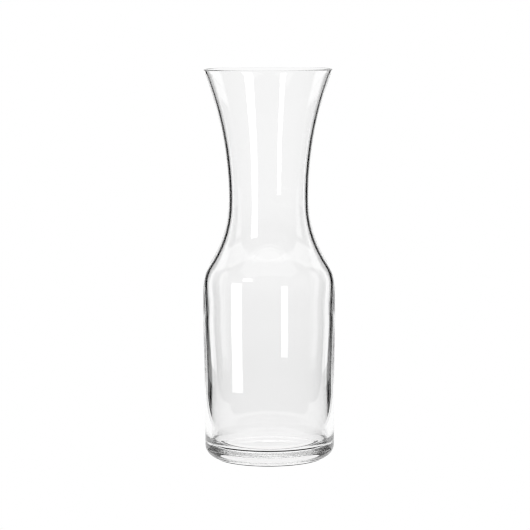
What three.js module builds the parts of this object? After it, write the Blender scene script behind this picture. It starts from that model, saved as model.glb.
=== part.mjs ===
// A flared glass wine decanter, machine blown in one piece: a heavy base and a straight body,
// a rounded shoulder, a drawn-in neck and a wide trumpet mouth with a fire-polished lip.
// Millimetres, +Z up. The origin is on the axis, in the plane that the foot stands on.
import * as THREE from "three";

// Heights above the table.
const TOTAL_HEIGHT = 280;
const NECK_TOP_HEIGHT = 187; // where the trumpet mouth starts to open
const NECK_BOTTOM_HEIGHT = 185; // where the neck starts to widen towards the shoulder
const SHOULDER_HEIGHT = 125; // where the rounded shoulder meets the body
const UPPER_BODY_HEIGHT = 102; // top of the slight taper of the body
const LOWER_BODY_HEIGHT = 48; // bottom of that taper

// Outside diameters.
const RIM_DIAMETER = 91.8;
const WAIST_DIAMETER = 58;
const SHOULDER_DIAMETER = 95.2;
const BASE_DIAMETER = 93.4;

// Edges and curves of the outside.
const SHOULDER_RADIUS = 27;
const HEEL_RADIUS = 9.2;
const LIP_THICKNESS = 1.7;

// The foot: a flat bearing ring round a shallow push-up.
const BEARING_RING_WIDTH = 3.6;
const PUSH_UP_DEPTH = 0.5;

// Thickness of the glass.
const NECK_WALL = 2.4;
const SHOULDER_WALL = 2.8;
const UPPER_BODY_WALL = 3.6;
const LOWER_BODY_WALL = 4.6;
const BASE_THICKNESS = 8.7; // on the axis, above the push-up
const INNER_CORNER_RADIUS = 8;

// Facets round the axis; a multiple of 4, so that the facets reach the full size along X and Y.
const FACETS = 48;
const GLASS_COLOUR = 0xf2f5f4;

// Points on an arc about (centreR, centreZ), from one angle to another in degrees, both ends included.
function arc(centreR, centreZ, radius, fromDegrees, toDegrees, steps) {
  const points = [];
  for (let i = 0; i <= steps; i += 1) {
    const angle = THREE.MathUtils.degToRad(THREE.MathUtils.lerp(fromDegrees, toDegrees, i / steps));
    points.push(new THREE.Vector2(centreR + radius * Math.cos(angle), centreZ + radius * Math.sin(angle)));
  }
  return points;
}

// The rounded shoulder and the hollow curve above it, up to the neck. The shoulder's arc leaves the
// body upright, the hollow arc reaches the neck upright, and the two touch with one tangent.
function shoulderToNeck(shoulderR, shoulderArc, neckR) {
  const centreR = shoulderR - shoulderArc;
  const rise = NECK_BOTTOM_HEIGHT - SHOULDER_HEIGHT;
  const offset = neckR - centreR;
  const hollowArc = (rise ** 2 + offset ** 2 - shoulderArc ** 2) / (2 * (shoulderArc - offset));
  const turn = THREE.MathUtils.radToDeg(Math.atan2(rise, hollowArc + offset));
  const shoulder = arc(centreR, SHOULDER_HEIGHT, shoulderArc, 0, turn, 4);
  const hollow = arc(neckR + hollowArc, NECK_BOTTOM_HEIGHT, hollowArc, 180 + turn, 180, 7);
  return [...shoulder, ...hollow.slice(1)];
}

// The trumpet mouth: one wide arc that leaves the neck upright and ends at (endR, endZ).
function trumpet(neckR, endR, endZ) {
  const rise = endZ - NECK_TOP_HEIGHT;
  const spread = endR - neckR;
  const radius = (rise ** 2 + spread ** 2) / (2 * spread);
  const turn = THREE.MathUtils.radToDeg(Math.asin(rise / radius));
  return arc(neckR + radius, NECK_TOP_HEIGHT, radius, 180, 180 - turn, 7);
}

// The half section from the push-up on the axis, up the outside, over the lip and down the inside
// to the inner floor on the axis.
function decanterSection() {
  const baseR = BASE_DIAMETER / 2;
  const waistR = WAIST_DIAMETER / 2;
  const shoulderR = SHOULDER_DIAMETER / 2;
  const rimR = RIM_DIAMETER / 2;

  const bearingOuterR = baseR - HEEL_RADIUS;
  const bearingInnerR = bearingOuterR - BEARING_RING_WIDTH;
  const foot = [
    new THREE.Vector2(0, PUSH_UP_DEPTH),
    new THREE.Vector2(bearingInnerR, 0),
  ];
  const heel = arc(bearingOuterR, HEEL_RADIUS, HEEL_RADIUS, -90, 0, 6);
  const taper = [
    new THREE.Vector2(baseR, LOWER_BODY_HEIGHT),
    new THREE.Vector2(shoulderR, UPPER_BODY_HEIGHT),
  ];

  const lipR = LIP_THICKNESS / 2;
  const lipCentreR = rimR - lipR;
  const lipCentreZ = TOTAL_HEIGHT - lipR;
  const lip = arc(lipCentreR, lipCentreZ, lipR, 0, 180, 6);

  const innerWaistR = waistR - NECK_WALL;
  const innerShoulderR = shoulderR - SHOULDER_WALL;
  const innerLowerR = baseR - LOWER_BODY_WALL;
  const floorZ = PUSH_UP_DEPTH + BASE_THICKNESS;
  const innerMouth = trumpet(innerWaistR, lipCentreR - lipR, lipCentreZ).reverse();
  const innerNeck = shoulderToNeck(innerShoulderR, SHOULDER_RADIUS - SHOULDER_WALL, innerWaistR);
  const innerBody = [
    new THREE.Vector2(shoulderR - UPPER_BODY_WALL, UPPER_BODY_HEIGHT),
    new THREE.Vector2(innerLowerR, LOWER_BODY_HEIGHT),
  ];
  const innerCorner = arc(
    innerLowerR - INNER_CORNER_RADIUS,
    floorZ + INNER_CORNER_RADIUS,
    INNER_CORNER_RADIUS,
    0,
    -90,
    5,
  );

  return [
    ...foot,
    ...heel,
    ...taper,
    ...shoulderToNeck(shoulderR, SHOULDER_RADIUS, waistR),
    ...trumpet(waistR, rimR, lipCentreZ),
    ...lip.slice(1),
    ...innerMouth.slice(1),
    ...innerNeck.reverse(),
    ...innerBody,
    ...innerCorner,
    new THREE.Vector2(0, floorZ),
  ];
}

const glass = new THREE.MeshStandardMaterial({
  name: "clear soda-lime glass",
  color: GLASS_COLOUR,
  roughness: 0.02,
  metalness: 0,
  transparent: true,
  opacity: 0.35,
});

// The lathe turns its section round Y, so the geometry is tipped up onto Z.
const vessel = new THREE.Mesh(new THREE.LatheGeometry(decanterSection(), FACETS), glass);
vessel.name = "glass_vessel";
vessel.geometry.rotateX(Math.PI / 2);

const decanter = new THREE.Group();
decanter.add(vessel);

export default decanter;
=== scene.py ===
"""A clear glass wine decanter, blown in one piece, on a white table in a plain studio."""
import math

import bpy
from bpy.props import FloatProperty, FloatVectorProperty, PointerProperty
from mathutils import Euler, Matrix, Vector, noise


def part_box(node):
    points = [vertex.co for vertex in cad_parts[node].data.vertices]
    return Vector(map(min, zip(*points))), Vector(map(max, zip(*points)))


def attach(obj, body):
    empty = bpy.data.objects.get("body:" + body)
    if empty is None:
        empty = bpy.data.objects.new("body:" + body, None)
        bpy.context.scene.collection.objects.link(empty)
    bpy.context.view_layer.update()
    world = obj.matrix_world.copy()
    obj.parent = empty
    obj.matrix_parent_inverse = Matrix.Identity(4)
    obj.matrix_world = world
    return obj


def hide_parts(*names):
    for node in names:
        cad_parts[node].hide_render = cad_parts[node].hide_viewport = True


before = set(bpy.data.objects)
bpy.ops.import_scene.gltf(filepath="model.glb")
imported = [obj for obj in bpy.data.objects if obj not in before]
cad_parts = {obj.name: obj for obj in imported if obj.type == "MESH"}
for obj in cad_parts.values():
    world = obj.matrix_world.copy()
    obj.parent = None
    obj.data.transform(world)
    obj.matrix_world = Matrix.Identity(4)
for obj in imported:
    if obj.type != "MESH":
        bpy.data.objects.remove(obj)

bl_info = {
    "name": "Blown glass wine decanter",
    "version": (1, 0, 0),
    "blender": (4, 5, 0),
    "location": "View3D > Sidebar > Decanter",
    "description": "Builds a flared one-piece glass decanter and a small studio to see it in",
    "category": "Add Mesh",
}

MM = 0.001
CAD_NODE = "glass_vessel"
CAD_LOW, CAD_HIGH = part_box(CAD_NODE)
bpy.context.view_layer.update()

# How finely the glass is turned.
SEGMENTS = 288
ARC_STEP = math.radians(4)

HOLLOW_STEPS = 24
RING_STEPS = 4
FLOOR_STEPS = 16
SIDE_STEPS = 40

# The two halves of the mould meet on these two sides, as angles from +X.
SEAM_ANGLES = (math.radians(-132), math.radians(48))

# The waves of the inner wall: a height that sets how long they are upwards, and how close they lie.
WAVE_HEIGHT = 45 * MM
WAVE_CLOSENESS = 2.0
# The first rows of the inner wall, next to the lip, are left without waves.
LIP_ROWS_KEPT = 4

# The glass: index of refraction of soda-lime glass, and how much light it swallows per metre.
GLASS_IOR = 1.52
GLASS_ABSORPTION = 1.2

# Light paths inside the thick base bounce many times before they leave it.
GLASS_BOUNCES = 160
FILTER_WIDTH = 1.2

# The camera.
SENSOR_WIDTH = 36
LENS = 156.5
CAMERA_PITCH = math.radians(6.52)
CAMERA_YAW = math.radians(0.098)
CAMERA_ROLL = math.radians(-0.26)
CLIP_START = 0.05

# The set, in metres. The table lies just under the glass, so that the two don't touch.
SET_HALF_WIDTH = 4.0
BACKDROP_DISTANCE = 1.5
TABLE_Z = -0.4 * MM
FOOT_SHADOW_Z = -0.2 * MM
FRONT_FLOOR_CARD_Z = 0.2 * MM
FRONT_FLOOR_Z = 0.3 * MM
SIDE_CARD_FRONT = 0.10
SIDE_CARD_BEND = 0.22
SIDE_CARD_TOP = 0.30
LOW_CARD_FRONT = -0.12
LOW_CARD_TOP = 0.03
SOFTBOX_HALF_WIDTH = 0.6
SOFTBOX_HEIGHT = 0.75
SOFTBOX_STRENGTH = 1.5

# The card bent round the front of the glass, and how far round it goes to each side.
FRONT_CARD_RADIUS = 0.145
FRONT_CARD_TOP = 0.1755
FRONT_CARD_BLACK_BELOW = 0.045
FRONT_CARD_GREY_ABOVE = 0.155
FRONT_CARD_GREY = 0.47
FRONT_REACH = math.radians(100)
FRONT_STEPS = 60
FRONT_FLOOR_CARD_INNER = 0.056
# The painted shadow under the foot: a black half ring on the table that stands in for the contact shadow of
# the glass.
FOOT_SHADOW_INNER = 33.5 * MM
FOOT_SHADOW_OUTER = 39.3 * MM

# Two pairs of strip lamps: a far pair for the neck and a near pair for the body.
NECK_LAMP_RADIUS = 0.25
BODY_LAMP_RADIUS = 0.14
LAMP_STEPS = 8


def linear(colour):
    """A linear RGB colour from an sRGB hex value such as "#f4f7f6"."""
    parts = [int(colour[i:i + 2], 16) / 255 for i in (1, 3, 5)]
    return tuple(c / 12.92 if c <= 0.04045 else ((c + 0.055) / 1.055) ** 2.4 for c in parts)


def distance(name, description, default):
    """A length property in metres."""
    return FloatProperty(
        name=name, description=description, default=default, min=0, unit="LENGTH", subtype="DISTANCE"
    )


def colour(name, description, default):
    """A colour property with an sRGB hex default."""
    return FloatVectorProperty(
        name=name, description=description, default=linear(default), subtype="COLOR", min=0, max=1
    )


class DecanterSizes(bpy.types.PropertyGroup):
    """Sizes and colour of the glass."""

    height: distance("Height", "Overall height", CAD_HIGH.z - CAD_LOW.z)
    shoulder_diameter: distance("Shoulder diameter", "Widest diameter of the body", CAD_HIGH.x - CAD_LOW.x)
    base_diameter: distance("Base diameter", "Diameter of the lower body", 93.4 * MM)
    waist_diameter: distance("Waist diameter", "Narrowest diameter of the neck", 58.0 * MM)
    rim_diameter: distance("Rim diameter", "Diameter over the lip", 91.8 * MM)
    neck_top: distance("Neck top", "Height where the trumpet mouth starts to open", 187 * MM)
    neck_bottom: distance("Neck bottom", "Height where the neck starts to widen", 185 * MM)
    shoulder_height: distance("Shoulder height", "Height where the shoulder meets the body", 125 * MM)
    upper_body: distance("Upper body height", "Top of the slight taper of the body", 102 * MM)
    lower_body: distance("Lower body height", "Bottom of the slight taper of the body", 48 * MM)
    shoulder_radius: distance("Shoulder radius", "Radius of the rounded shoulder", 27 * MM)
    heel_radius: distance("Heel radius", "Radius of the outside edge of the base", 9.2 * MM)
    lip: distance("Lip thickness", "Diameter of the fire-polished bead of the lip", 1.7 * MM)
    bearing_ring: distance("Bearing ring width", "Width of the flat ring that the base stands on", 3.6 * MM)
    push_up: distance("Push-up depth", "Depth of the shallow hollow under the base", 0.5 * MM)
    neck_wall: distance("Neck wall", "Glass thickness at the neck", 2.4 * MM)
    shoulder_wall: distance("Shoulder wall", "Glass thickness at the shoulder", 2.8 * MM)
    upper_wall: distance("Upper body wall", "Glass thickness at the top of the body", 3.6 * MM)
    lower_wall: distance("Lower body wall", "Glass thickness in the lower body", 4.6 * MM)
    base_thickness: distance("Base thickness", "Glass thickness on the axis of the base", 8.7 * MM)
    inner_corner: distance("Inner corner radius", "Radius between the inner wall and the floor", 8 * MM)
    wave: distance("Inner waviness", "How far the blown inner wall wanders", 0.015 * MM)
    seam: distance("Mould seam", "Height of the faint seams that the mould leaves", 0.05 * MM)
    seam_width: distance("Mould seam width", "Half width of a mould seam", 0.9 * MM)
    glass_colour: colour("Glass colour", "Body colour of the glass", "#ffffff")


class StudioSizes(bpy.types.PropertyGroup):
    """Sizes and brightness of the set."""

    camera_distance: distance("Camera distance", "Level distance from the axis to the camera", 1.647)
    camera_height: distance("Camera height", "Height of the camera above the table", 0.3275)
    card_gap: distance("Card gap", "From the decanter's axis to each black side card", 0.162)
    card_back: distance("Card back edge", "How far behind the axis the side cards end", 0.251)
    card_back_top: distance("Card back edge, top", "The same for the upper part of the cards", 0.32)
    strip_strength: FloatProperty(
        name="Strip strength", description="Brightness of the strip lamps", default=4.5, min=0
    )
    room: colour("Room", "Colour of the dim room round the set", "#bcbcbc")
    white: colour("White", "Colour of the lit table and backdrop", "#ffffff")


def arc(centre_r, centre_z, radius, start, end):
    """Points on an arc in the section's plane, angles in radians, both ends included."""
    steps = max(6, math.ceil(abs(end - start) / ARC_STEP))
    angles = [start + (end - start) * i / steps for i in range(steps + 1)]
    return [(centre_r + radius * math.cos(a), centre_z + radius * math.sin(a)) for a in angles]


def smooth(t):
    """Eases from 0 to 1."""
    t = min(1.0, max(0.0, t))
    return t * t * (3 - 2 * t)


def shoulder_to_neck(s, shoulder_r, shoulder_arc, neck_r):
    """The rounded shoulder and the hollow curve above it, which touch with one tangent."""
    centre_r = shoulder_r - shoulder_arc
    rise = s.neck_bottom - s.shoulder_height
    offset = neck_r - centre_r
    hollow = (rise ** 2 + offset ** 2 - shoulder_arc ** 2) / (2 * (shoulder_arc - offset))
    turn = math.atan2(rise, hollow + offset)
    convex = arc(centre_r, s.shoulder_height, shoulder_arc, 0, turn)
    concave = arc(neck_r + hollow, s.neck_bottom, hollow, math.pi + turn, math.pi)
    return convex + concave[1:]


def trumpet(s, neck_r, end_r, end_z):
    """The trumpet mouth: one wide arc from the upright neck to the lip."""
    rise = end_z - s.neck_top
    spread = end_r - neck_r
    radius = (rise ** 2 + spread ** 2) / (2 * spread)
    turn = math.asin(rise / radius)
    angles = [math.pi - turn * i / SIDE_STEPS for i in range(SIDE_STEPS + 1)]
    return [(neck_r + radius + radius * math.cos(a), s.neck_top + radius * math.sin(a)) for a in angles]


def body_side(s, low_r, high_r, from_z, to_z):
    """The side of the body, which eases from the lower to the upper radius."""
    points = []
    for i in range(SIDE_STEPS + 1):
        z = from_z + (to_z - from_z) * i / SIDE_STEPS
        share = smooth((z - s.lower_body) / (s.upper_body - s.lower_body))
        points.append((low_r + (high_r - low_r) * share, z))
    return points


def section(s):
    """The half section in three runs: the outside from the axis up, the lip, the inside down to the axis."""
    base_r = s.base_diameter / 2
    shoulder_r = s.shoulder_diameter / 2
    waist_r = s.waist_diameter / 2
    rim_r = s.rim_diameter / 2

    bearing_outer = base_r - s.heel_radius
    bearing_inner = bearing_outer - s.bearing_ring
    under = []
    for i in range(HOLLOW_STEPS):
        r = bearing_inner * i / HOLLOW_STEPS
        under.append((r, s.push_up * (1 - smooth(r / bearing_inner))))
    under.append((bearing_inner, 0.0))
    under += [(bearing_inner + s.bearing_ring * i / RING_STEPS, 0.0) for i in range(1, RING_STEPS)]
    heel = arc(bearing_outer, s.heel_radius, s.heel_radius, -math.pi / 2, 0)
    side = body_side(s, base_r, shoulder_r, s.heel_radius, s.shoulder_height)

    lip_r = s.lip / 2
    lip_centre = (rim_r - lip_r, s.height - lip_r)
    lip = arc(lip_centre[0], lip_centre[1], lip_r, 0, math.pi)

    inner_waist = waist_r - s.neck_wall
    inner_shoulder = shoulder_r - s.shoulder_wall
    inner_upper = shoulder_r - s.upper_wall
    inner_lower = base_r - s.lower_wall
    floor_z = s.push_up + s.base_thickness
    corner_z = floor_z + s.inner_corner
    inner_mouth = trumpet(s, inner_waist, lip_centre[0] - lip_r, lip_centre[1])
    inner_neck = shoulder_to_neck(s, inner_shoulder, s.shoulder_radius - s.shoulder_wall, inner_waist)
    inner_side = []
    for r, z in body_side(s, inner_lower, inner_upper, corner_z, s.shoulder_height):
        above = smooth((z - s.upper_body) / (s.shoulder_height - s.upper_body))
        inner_side.append((r + (inner_shoulder - inner_upper) * above, z))
    corner = arc(inner_lower - s.inner_corner, corner_z, s.inner_corner, 0, -math.pi / 2)
    floor_r = inner_lower - s.inner_corner
    floor = [(floor_r * (1 - i / FLOOR_STEPS), floor_z) for i in range(1, FLOOR_STEPS + 1)]

    outside = under + heel + side[1:] + shoulder_to_neck(s, shoulder_r, s.shoulder_radius, waist_r)[1:]
    outside += trumpet(s, waist_r, rim_r, lip_centre[1])[1:]
    inside = list(reversed(inner_mouth))[1:] + list(reversed(inner_neck))[1:]
    inside += list(reversed(inner_side))[1:] + corner[1:] + floor
    return outside, lip[1:], inside


def mould_seam(s, angle, z):
    """How far the two seams of the mould stand out of the body at one point, fading at heel and shoulder."""
    fade = smooth((z - s.heel_radius / 2) / s.heel_radius) * smooth((s.neck_bottom - z) / s.shoulder_radius)
    height = 0.0
    for seam_angle in SEAM_ANGLES:
        turn = (angle - seam_angle + math.pi) % (2 * math.pi) - math.pi
        height += math.exp(-((turn * s.base_diameter / 2 / s.seam_width) ** 2))
    return s.seam * fade * height


def blown_wave(s, angle, z):
    """How far the blown inner wall, which no mould touched, wanders at one point."""
    place = Vector((math.cos(angle), math.sin(angle), z / WAVE_HEIGHT))
    return s.wave * noise.noise(place * WAVE_CLOSENESS)


def turned_mesh(name, points, shift):
    """Turns a section that starts and ends on the axis round Z. Each radius moves by shift(row, angle, z)."""
    vertices = [(0.0, 0.0, points[0][1])]
    for row, (r, z) in enumerate(points[1:-1], 1):
        for i in range(SEGMENTS):
            a = 2 * math.pi * i / SEGMENTS
            moved = r + shift(row, a, z)
            vertices.append((moved * math.cos(a), moved * math.sin(a), z))
    vertices.append((0.0, 0.0, points[-1][1]))
    last = len(vertices) - 1
    rings = len(points) - 2
    faces = []
    for i in range(SEGMENTS):
        j = (i + 1) % SEGMENTS
        faces.append((0, 1 + j, 1 + i))
        for k in range(rings - 1):
            low = 1 + k * SEGMENTS
            high = low + SEGMENTS
            faces.append((low + i, low + j, high + j, high + i))
        top = 1 + (rings - 1) * SEGMENTS
        faces.append((top + i, top + j, last))
    mesh = bpy.data.meshes.new(name)
    mesh.from_pydata(vertices, [], faces)
    mesh.shade_smooth()
    mesh.validate()
    return mesh


def add(nodes, links, kind, settings=None, inputs=None, out=None, to=None):
    """Adds a node, sets it up and links one of its outputs on."""
    node = nodes.new(kind)
    for key, value in (settings or {}).items():
        setattr(node, key, value)
    for key, value in (inputs or {}).items():
        if isinstance(value, bpy.types.NodeSocket):
            links.new(value, node.inputs[key])
        else:
            node.inputs[key].default_value = value
    if to is not None:
        links.new(node.outputs[out or 0], to)
    return node


def new_material(name):
    """An empty node material and its output."""
    material = bpy.data.materials.new(name)
    material.use_nodes = True
    nodes = material.node_tree.nodes
    nodes.clear()
    return material, nodes, material.node_tree.links, nodes.new("ShaderNodeOutputMaterial")


def soda_lime_glass(s):
    """Clear soda-lime glass, blown in a mould and fire-polished."""
    # Fire polishing leaves a surface with no grain at all, so the highlights are sharp and the edges
    # dark. The weak grey absorption only shows where the eye looks through the glass lengthwise.
    material, nodes, links, output = new_material("soda_lime_glass_fire_polished")
    add(
        nodes, links, "ShaderNodeBsdfPrincipled",
        inputs={
            "Base Color": (*s.glass_colour, 1),
            "Roughness": 0.0,
            "IOR": GLASS_IOR,
            "Transmission Weight": 1.0,
        },
        to=output.inputs["Surface"],
    )
    add(
        nodes, links, "ShaderNodeVolumeAbsorption",
        inputs={"Color": (0, 0, 0, 1), "Density": GLASS_ABSORPTION},
        to=output.inputs["Volume"],
    )
    return material


def lit(name, rgb, strength):
    """A surface that glows evenly, such as a lit panel."""
    material, nodes, links, output = new_material(name)
    add(
        nodes, links, "ShaderNodeEmission",
        inputs={"Color": (*rgb, 1), "Strength": strength},
        to=output.inputs["Surface"],
    )
    return material


def staged(name, vertices, faces, material, parent=None, seen_by_camera=False):
    """Adds one piece of the set, on the rig if a parent is given."""
    mesh = bpy.data.meshes.new(name)
    mesh.from_pydata(vertices, [], faces)
    mesh.materials.append(material)
    piece = bpy.data.objects.new(name, mesh)
    bpy.context.scene.collection.objects.link(piece)
    piece.visible_camera = seen_by_camera
    piece.parent = parent
    return piece


def panel(name, corners, material, parent=None, seen_by_camera=False):
    """A flat panel of the set."""
    faces = [tuple(range(len(corners)))]
    return staged(name, corners, faces, material, parent, seen_by_camera)


def level_square(half, z):
    """Corners of a level square on the axis."""
    return [(-half, -half, z), (half, -half, z), (half, half, z), (-half, half, z)]


def round_front(edges):
    """A band bent round the front of the axis between two edges, each a radius and a height."""
    vertices = []
    for i in range(FRONT_STEPS + 1):
        a = -FRONT_REACH + 2 * FRONT_REACH * i / FRONT_STEPS
        for r, z in edges:
            vertices.append((r * math.sin(a), -r * math.cos(a), z))
    faces = [(2 * i, 2 * i + 2, 2 * i + 3, 2 * i + 1) for i in range(FRONT_STEPS)]
    return vertices, faces


def half_ring(name, inner, outer, z, material, rig, seen_by_camera=False):
    """A level half ring in front of the axis."""
    vertices, faces = round_front(((inner, z), (outer, z)))
    return staged(name, vertices, faces, material, rig, seen_by_camera)


def graded_card():
    """A card that is black at its foot and fades upwards to the room's grey."""
    material, nodes, links, output = new_material("graded_front_card")
    emission = add(nodes, links, "ShaderNodeEmission", to=output.inputs["Surface"])
    ramp = add(
        nodes, links, "ShaderNodeMapRange",
        settings={"interpolation_type": "LINEAR"},
        inputs={
            "From Min": FRONT_CARD_BLACK_BELOW,
            "From Max": FRONT_CARD_GREY_ABOVE,
            "To Min": 0.0,
            "To Max": FRONT_CARD_GREY,
        },
        to=emission.inputs["Strength"],
    )
    height = add(nodes, links, "ShaderNodeSeparateXYZ", out="Z", to=ramp.inputs["Value"])
    add(nodes, links, "ShaderNodeTexCoord", out="Object", to=height.inputs["Vector"])
    return material


def front_cards(t, rig, black):
    """What the front of the glass reflects, and a painted shadow line under the near side of its foot: a
    black ring on the table where the contact shadow would fall.
    """
    vertices, faces = round_front(((FRONT_CARD_RADIUS, 0.0), (FRONT_CARD_RADIUS, FRONT_CARD_TOP)))
    staged("front_card", vertices, faces, graded_card(), rig)
    half_ring("front_floor_card", FRONT_FLOOR_CARD_INNER, FRONT_CARD_RADIUS, FRONT_FLOOR_CARD_Z, black, rig)
    grey = lit("grey_floor", t.room, 1.0)
    half_ring("front_floor", FRONT_CARD_RADIUS, SET_HALF_WIDTH, FRONT_FLOOR_Z, grey, rig)
    # Painted shadow: a black ring on the table under the near half of the foot, also seen by the camera,
    # stands in for the contact shadow.
    half_ring("foot_shadow", FOOT_SHADOW_INNER, FOOT_SHADOW_OUTER, FOOT_SHADOW_Z, black, rig, True)


def side_cards(t, rig, black):
    """Black cards at both sides, which draw the dark edges of the glass."""
    for side, name in ((-1, "left"), (1, "right")):
        x = side * t.card_gap
        tall = [
            (x, SIDE_CARD_FRONT, 0),
            (x, t.card_back, 0),
            (x, t.card_back_top, SIDE_CARD_BEND),
            (x, t.card_back_top, SIDE_CARD_TOP),
            (x, SIDE_CARD_FRONT, SIDE_CARD_TOP),
        ]
        low = [
            (x, LOW_CARD_FRONT, 0),
            (x, SIDE_CARD_FRONT, 0),
            (x, SIDE_CARD_FRONT, LOW_CARD_TOP),
            (x, LOW_CARD_FRONT, LOW_CARD_TOP),
        ]
        panel(name + "_side_card", tall, black, rig)
        panel(name + "_low_card", low, black, rig)


def strip_lamp(name, radius, angle, width, low, high, material, rig):
    """An upright strip lamp bent round the axis. Its angle, in degrees, is from straight in front."""
    vertices = []
    for z in (low, high):
        for i in range(LAMP_STEPS + 1):
            a = math.radians(angle) + math.radians(width) * (i / LAMP_STEPS - 0.5)
            vertices.append((radius * math.sin(a), -radius * math.cos(a), z))
    row = LAMP_STEPS + 1
    faces = [(i, i + 1, i + 1 + row, i + row) for i in range(LAMP_STEPS)]
    piece = staged(name, vertices, faces, material, rig)
    # Only the outer surface shows the lamp, so each highlight stays single.
    piece.visible_transmission = False


def lamps(t, rig):
    """The strip lamps and the softbox overhead."""
    lamp = lit("strip_lamp", t.white, t.strip_strength)
    strip_lamp("left_neck_lamp", NECK_LAMP_RADIUS, -37, 18, 0.06, 0.27, lamp, rig)
    strip_lamp("right_neck_lamp", NECK_LAMP_RADIUS, 28, 11, 0.06, 0.165, lamp, rig)
    strip_lamp("left_body_lamp", BODY_LAMP_RADIUS, -49, 18, 0.035, 0.16, lamp, rig)
    strip_lamp("right_body_lamp", BODY_LAMP_RADIUS, 22, 10, 0.06, 0.15, lamp, rig)
    diffuser = lit("softbox_diffuser", t.white, SOFTBOX_STRENGTH)
    softbox = panel("overhead_softbox", level_square(SOFTBOX_HALF_WIDTH, SOFTBOX_HEIGHT), diffuser, rig)
    # It lightens the base through the glass, and is kept out of the reflections on the shoulder.
    softbox.visible_glossy = False


def aim_camera(scene, t):
    """The camera in front of the glass, looking slightly down."""
    data = bpy.data.cameras.new("camera")
    data.sensor_width = SENSOR_WIDTH
    data.lens = LENS
    data.clip_start = CLIP_START
    camera = bpy.data.objects.new("camera", data)
    scene.collection.objects.link(camera)
    camera.location = (0, -t.camera_distance, t.camera_height)
    aim = Euler((math.pi / 2 - CAMERA_PITCH, 0, CAMERA_YAW)).to_matrix()
    camera.rotation_euler = (aim @ Euler((0, 0, CAMERA_ROLL)).to_matrix()).to_euler()
    scene.camera = camera
    return camera


def turning_rig(scene, camera):
    """The empty that carries the set."""
    # The cards, the lamps and the backdrop turn with the camera round the upright axis, as if the
    # decanter stood on a turntable in front of a fixed set, so each view is lit in the same way.
    rig = bpy.data.objects.new("card_rig", None)
    scene.collection.objects.link(rig)
    track = rig.constraints.new("LOCKED_TRACK")
    track.target = camera
    track.track_axis = "TRACK_NEGATIVE_Y"
    track.lock_axis = "LOCK_Z"
    return rig


def dim_room(scene, t):
    """An even, dim room round the set."""
    world = bpy.data.worlds.new("studio_room")
    scene.world = world
    world.use_nodes = True
    background = world.node_tree.nodes["Background"]
    background.inputs["Color"].default_value = (*t.room, 1)
    background.inputs["Strength"].default_value = 1.0


class DECANTER_OT_glass(bpy.types.Operator):
    """Build the one-piece glass vessel"""

    bl_idname = "decanter.glass"
    bl_label = "Glass vessel"

    def execute(self, context):
        s = context.scene.decanter
        outside, lip, inside = section(s)
        first_inside = len(outside) + len(lip)

        def shift(row, angle, z):
            if row < len(outside):
                return mould_seam(s, angle, z)
            return blown_wave(s, angle, z) if first_inside + LIP_ROWS_KEPT < row else 0.0

        mesh = turned_mesh("blown_glass_vessel", outside + lip + inside, shift)
        mesh.materials.append(soda_lime_glass(s))
        vessel = bpy.data.objects.new("blown_glass_vessel", mesh)
        context.scene.collection.objects.link(vessel)
        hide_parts(CAD_NODE)
        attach(vessel, "root")
        return {"FINISHED"}


class DECANTER_OT_studio(bpy.types.Operator):
    """Build the table, the cards, the lamps and the camera"""

    bl_idname = "decanter.studio"
    bl_label = "Studio"

    def execute(self, context):
        scene = context.scene
        t = scene.studio
        scene.view_settings.view_transform = "Standard"
        scene.cycles.max_bounces = GLASS_BOUNCES
        scene.cycles.transmission_bounces = GLASS_BOUNCES
        scene.cycles.glossy_bounces = GLASS_BOUNCES
        scene.cycles.filter_width = FILTER_WIDTH
        dim_room(scene, t)
        rig = turning_rig(scene, aim_camera(scene, t))

        white = lit("white_acrylic_lit", t.white, 1.0)
        # Black for the velvet cards, and the same black for the painted shadow ring under the foot.
        black = lit("black_velvet_card_and_painted_shadow", (0, 0, 0), 0.0)
        half = SET_HALF_WIDTH
        back = BACKDROP_DISTANCE
        panel("table", level_square(half, TABLE_Z), white, seen_by_camera=True)
        upright = [(-half, back, 0), (half, back, 0), (half, back, half), (-half, back, half)]
        panel("backdrop", upright, white, rig, seen_by_camera=True)
        side_cards(t, rig, black)
        front_cards(t, rig, black)
        lamps(t, rig)
        return {"FINISHED"}


class DECANTER_PT_panel(bpy.types.Panel):
    """Lists the builders"""

    bl_idname = "DECANTER_PT_panel"
    bl_label = "Decanter"
    bl_space_type = "VIEW_3D"
    bl_region_type = "UI"
    bl_category = "Decanter"

    def draw(self, context):
        for operator in OPERATORS:
            self.layout.operator(operator.bl_idname)


OPERATORS = (DECANTER_OT_glass, DECANTER_OT_studio)
CLASSES = (DecanterSizes, StudioSizes, *OPERATORS, DECANTER_PT_panel)


def register():
    for cls in CLASSES:
        bpy.utils.register_class(cls)
    bpy.types.Scene.decanter = PointerProperty(type=DecanterSizes)
    bpy.types.Scene.studio = PointerProperty(type=StudioSizes)


def unregister():
    del bpy.types.Scene.studio
    del bpy.types.Scene.decanter
    for cls in reversed(CLASSES):
        bpy.utils.unregister_class(cls)


def main():
    register()
    bpy.ops.decanter.glass()
    bpy.ops.decanter.studio()


if __name__ == "__main__":
    main()
